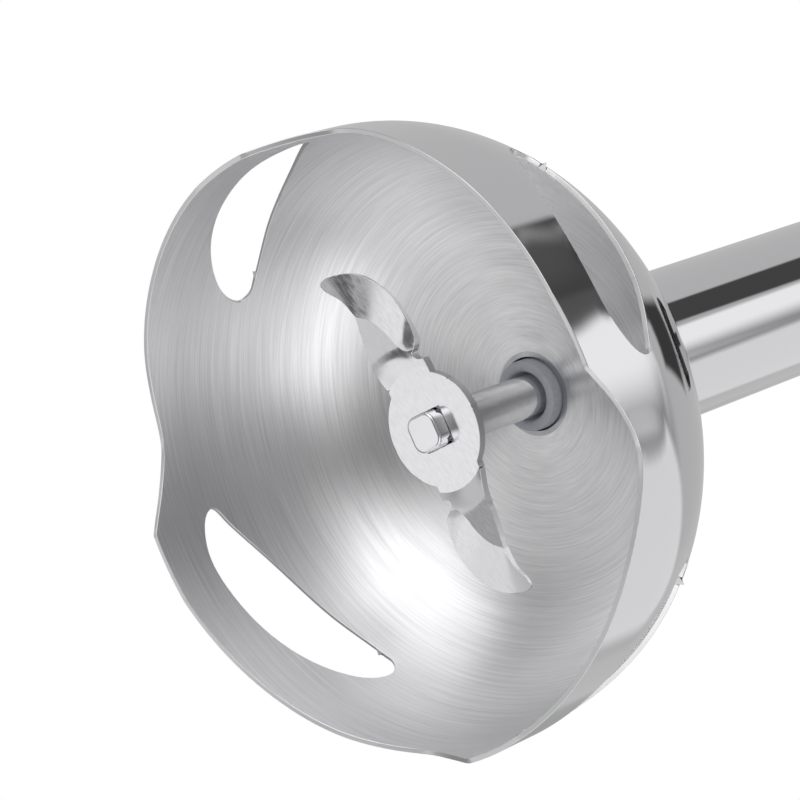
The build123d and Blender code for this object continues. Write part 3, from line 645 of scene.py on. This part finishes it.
class STICKBLENDER_OT_blade(bpy.types.Operator):
    """Blade: flat hub with a square hole and two sickle wings, each twisted and ground thin at its edge"""
    bl_idname = "stickblender.blade"
    bl_label = "Blade"

    def execute(self, context):
        size = context.scene.stickblender_blade
        bm = bmesh.new()
        crease, fold = flat_wing(bm, size)
        part = bm.faces.layers.int["part"]
        for face in bm.faces:
            if face[part] == MARGIN_PART:
                for vert in face.verts:
                    vert.co.z = -min((vert.co.xy - p.xy).length for p in crease) * tan(size.grind)
        top = bmesh.ops.extrude_face_region(bm, geom=bm.faces[:], use_keep_orig=True)["geom"]
        for vert in top:
            if isinstance(vert, bmesh.types.BMVert):
                vert.co.z += max(size.edge, size.thickness + vert.co.z)
        for vert in bm.verts:
            past = vert.co.xy.length - fold
            if vert.co.x > 0 and past > 0:
                share = sin(pi / 2 * min(1, past / size.twist_run))
                twist = size.tilt * share
                lever = size.pivot - vert.co.y
                height = vert.co.z
                vert.co.y = size.pivot - lever * cos(twist) + height * sin(twist)
                vert.co.z = height * cos(twist) - lever * sin(twist) - size.drop * share
        inner = [f for f in bm.faces if all(abs(v.co.x) < 1e-6 for v in f.verts)]
        bmesh.ops.delete(bm, geom=inner, context="FACES")
        bmesh.ops.spin(bm, geom=bm.verts[:] + bm.edges[:] + bm.faces[:], cent=(0, 0, 0), axis=(0, 0, 1),
                       dvec=(0, 0, 0), angle=pi, steps=1, use_duplicate=True)
        bmesh.ops.remove_doubles(bm, verts=bm.verts[:], dist=SAME_PLACE)
        bmesh.ops.recalc_face_normals(bm, faces=bm.faces[:])
        bmesh.ops.rotate(bm, verts=bm.verts[:], cent=(0, 0, 0), matrix=Matrix.Rotation(size.azimuth, 3, "Z"))
        bmesh.ops.translate(bm, verts=bm.verts[:], vec=(0, 0, BLADE_HEIGHT))
        blade = piece("blade_ground", bm, ("stainless_ground_blade",), "drive", "blade_steel", "blade")
        round_edges(blade, 0.06 * MM, radians(50))
        return {"FINISHED"}


class STICKBLENDER_OT_shaft(bpy.types.Operator):
    """Shaft: ground steel rod, its end milled square and peened over the blade"""
    bl_idname = "stickblender.shaft"
    bl_label = "Shaft"

    def execute(self, context):
        size = context.scene.stickblender_blade
        low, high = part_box("drive_shaft")
        radius = high.x
        shoulder = BLADE_HEIGHT + size.thickness
        bm = bmesh.new()
        bmesh.ops.create_cone(bm, cap_ends=True, segments=64, radius1=radius, radius2=radius,
                              depth=high.z - shoulder)
        bmesh.ops.translate(bm, verts=bm.verts[:], vec=(0, 0, (high.z + shoulder) / 2))
        rounded(bm, [e for e in bm.edges if e.is_manifold and e.calc_face_angle() > 1], 0.3 * MM, 2)
        stub = bmesh.ops.create_cube(bm, size=1.0)["verts"]
        bmesh.ops.scale(bm, verts=stub, vec=(size.stub_flats, size.stub_flats, shoulder - low.z + 0.2 * MM))
        bmesh.ops.translate(bm, verts=stub, vec=(0, 0, (shoulder + low.z + 0.2 * MM) / 2))
        edges = {e for v in stub for e in v.link_edges}
        upright = [e for e in edges if abs(e.verts[0].co.z - e.verts[1].co.z) > MM]
        rounded(bm, upright, STUB_CORNER, 8)
        faces = {f for v in bm.verts if abs(v.co.z - low.z) < 1e-6 for f in v.link_faces}
        under = [f for f in faces if f.normal.z < -0.9]
        rounded(bm, [e for f in under for e in f.edges], 0.3 * MM, 4)
        end = [f for f in bm.faces if f.normal.z < -0.999 and f.calc_center_median().z < low.z + 0.01 * MM]
        bmesh.ops.inset_region(bm, faces=end, thickness=0.08 * MM)
        bmesh.ops.rotate(bm, verts=bm.verts[:], cent=(0, 0, 0), matrix=Matrix.Rotation(size.azimuth, 3, "Z"))
        piece("shaft_ground", bm, ("stainless_centreless_ground",), "drive", "shaft_steel", "drive_shaft",
              smooth_angle=radians(40))
        return {"FINISHED"}


class STICKBLENDER_OT_seal(bpy.types.Operator):
    """Seal: grey rubber ring that stands in the crown and wipes the shaft"""
    bl_idname = "stickblender.seal"
    bl_label = "Seal"

    def execute(self, context):
        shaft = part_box("drive_shaft")[1].x
        low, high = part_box("lip_seal")
        radius = high.x - SEAL_SQUEEZE
        lip = shaft + LIP_GAP
        bm = bmesh.new()
        face = low.z + 0.05 * MM
        lathe(bm, [(lip, low.z + 1.5 * MM), (lip + 0.35 * MM, low.z + 1.2 * MM),
                   (lip + 0.45 * MM, face + 0.2 * MM), (lip + 0.65 * MM, face),
                   (radius - 0.35 * MM, face), (radius - 0.1 * MM, face + 0.08 * MM),
                   (radius, face + 0.35 * MM), (radius, high.z), (lip, high.z)], 96)
        bmesh.ops.recalc_face_normals(bm, faces=bm.faces[:])
        piece("lip_seal_moulded", bm, ("nitrile_moulded_grey",), "foot", "seal_rubber", "lip_seal",
              smooth_angle=radians(50))
        return {"FINISHED"}


class STICKBLENDER_OT_finishes(bpy.types.Operator):
    """Finishes: gives every carried-over part its material"""
    bl_idname = "stickblender.finishes"
    bl_label = "Finishes"

    def execute(self, context):
        made = finishes()
        brushed_steel_inside()
        sheared_edge()
        for entry in frame["record"]["subparts"]:
            node = frame["nodes"][entry["node"]]
            node.data.materials.clear()
            node.data.materials.append(made[entry["material_slot"]])
        return {"FINISHED"}


def heading(azimuth, elevation):
    """Unit vector towards an azimuth and elevation in degrees."""
    level = cos(radians(elevation))
    return Vector((level * cos(radians(azimuth)), level * sin(radians(azimuth)), sin(radians(elevation))))


def studio(light):
    """World: white behind the object, and for reflections a grey room with soft-edged cards."""
    world = bpy.data.worlds.new("studio")
    bpy.context.scene.world = world
    world.use_nodes = True
    tree = world.node_tree
    tree.nodes.clear()
    place = add(tree, "ShaderNodeTexCoord")
    glow = add(tree, "ShaderNodeValue")
    glow.outputs[0].default_value = ROOM
    total = glow
    for azimuth, elevation, width, height, turn, soft, value in CARDS:
        middle = heading(azimuth, elevation)
        facing = middle.to_track_quat("Z", "Y").to_matrix() @ Matrix.Rotation(radians(turn), 3, "Z")
        spot = add(tree, "ShaderNodeMapping", {"Location": middle, "Rotation": facing.to_euler(),
                                               "Scale": (tan(radians(width)), tan(radians(height)), 1)},
                   {"Vector": place.outputs["Generated"]}, vector_type="TEXTURE")
        size = add(tree, "ShaderNodeVectorMath", None, {0: spot.outputs[0]}, operation="ABSOLUTE")
        axes = add(tree, "ShaderNodeSeparateXYZ", None, {0: size.outputs[0]})
        far = add(tree, "ShaderNodeMath", None, {0: axes.outputs[0], 1: axes.outputs[1]}, operation="MAXIMUM")
        inside = add(tree, "ShaderNodeMapRange", {"From Min": 1 + soft, "From Max": 1 - soft},
                     {"Value": far.outputs[0]}, interpolation_type="SMOOTHSTEP")
        # A card covers only its own half of the room.
        ahead = add(tree, "ShaderNodeMapRange", {"From Min": 0.9, "From Max": 0.8},
                    {"Value": axes.outputs[2]})
        mask = add(tree, "ShaderNodeMath", None, {0: inside.outputs[0], 1: ahead.outputs[0]},
                   operation="MULTIPLY")
        step = add(tree, "ShaderNodeMix", {3: value}, {0: mask.outputs[0], 2: total.outputs[0]},
                   data_type="FLOAT")
        total = step
    lit = add(tree, "ShaderNodeBackground", {"Strength": light})
    tree.links.new(total.outputs[0], lit.inputs["Color"])
    backdrop = add(tree, "ShaderNodeBackground", {"Color": (1, 1, 1, 1), "Strength": 1.0})
    path = add(tree, "ShaderNodeLightPath")
    both = add(tree, "ShaderNodeMixShader", None, {0: path.outputs["Is Camera Ray"], 1: lit.outputs[0],
                                                   2: backdrop.outputs[0]})
    add(tree, "ShaderNodeOutputWorld", None, {0: both.outputs[0]})


class STICKBLENDER_OT_stage(bpy.types.Operator):
    """Stage: camera, pale floor and studio light"""
    bl_idname = "stickblender.stage"
    bl_label = "Stage"

    def execute(self, context):
        size = context.scene.stickblender_stage
        camera = bpy.data.cameras.new("camera")
        camera.lens = size.lens
        camera.sensor_width = 36
        camera.clip_start = 0.01
        viewer = bpy.data.objects.new("camera", camera)
        context.scene.collection.objects.link(viewer)
        ahead, over = Vector(size.ahead), Vector(size.over)
        aside = ahead.cross(over)
        turn = Matrix((aside, over, -ahead)).transposed().to_4x4()
        viewer.matrix_world = Matrix.Translation(size.place) @ turn
        context.scene.camera = viewer
        studio(size.light)
        context.scene.view_settings.view_transform = "Standard"
        bm = bmesh.new()
        bmesh.ops.create_circle(bm, cap_ends=True, segments=96, radius=size.floor)
        bmesh.ops.translate(bm, verts=bm.verts[:], vec=(0, 0, CAD_BOX[0][2] - 0.2 * MM))
        mesh = bpy.data.meshes.new("floor")
        bm.to_mesh(mesh)
        bm.free()
        mesh.materials.append(pale_floor())
        floor = bpy.data.objects.new("floor", mesh)
        context.scene.collection.objects.link(floor)
        for ray in ("visible_diffuse", "visible_glossy", "visible_transmission", "visible_shadow"):
            setattr(floor, ray, False)
        return {"FINISHED"}


def pale_floor():
    """Matt white sheet, seen only from above: it hides nothing from a camera below it."""
    material, tree, shader = start("paper_matt_white", "F2F2F2", 0.0, 0.9)
    grain(tree, shader, 2 * MM, 0.02 * MM)
    side = add(tree, "ShaderNodeNewGeometry")
    clear = add(tree, "ShaderNodeBsdfTransparent")
    both = add(tree, "ShaderNodeMixShader", None, {0: side.outputs["Backfacing"], 1: shader.outputs[0],
                                                   2: clear.outputs[0]})
    tree.links.new(both.outputs[0], tree.nodes["Material Output"].inputs["Surface"])
    return material


class STICKBLENDER_PT_panel(bpy.types.Panel):
    """Lists the pieces and the stage"""
    bl_idname = "STICKBLENDER_PT_panel"
    bl_label = "Stick Blender"
    bl_space_type = "VIEW_3D"
    bl_region_type = "UI"
    bl_category = "Stick Blender"

    def draw(self, context):
        layout = self.layout
        for group in GROUPS:
            settings = getattr(context.scene, group)
            for name in settings.bl_rna.properties.keys():
                if name not in ("rna_type", "name"):
                    layout.prop(settings, name)
        for operator in OPERATORS:
            layout.operator(operator.bl_idname)


OPERATORS = (STICKBLENDER_OT_finishes, STICKBLENDER_OT_bell, STICKBLENDER_OT_tube, STICKBLENDER_OT_blade,
             STICKBLENDER_OT_shaft, STICKBLENDER_OT_seal, STICKBLENDER_OT_stage)
GROUPS = {"stickblender_bell": BellSettings, "stickblender_blade": BladeSettings,
          "stickblender_stage": StageSettings}


def register():
    for kind in (*GROUPS.values(), *OPERATORS, STICKBLENDER_PT_panel):
        bpy.utils.register_class(kind)
    for name, kind in GROUPS.items():
        setattr(bpy.types.Scene, name, PointerProperty(type=kind))


def unregister():
    for name in GROUPS:
        delattr(bpy.types.Scene, name)
    for kind in (STICKBLENDER_PT_panel, *reversed(OPERATORS), *reversed(GROUPS.values())):
        bpy.utils.unregister_class(kind)


def main():
    register()
    for operator in OPERATORS:
        group, name = operator.bl_idname.split(".")
        getattr(getattr(bpy.ops, group), name)()


if __name__ == "__main__":
    main()
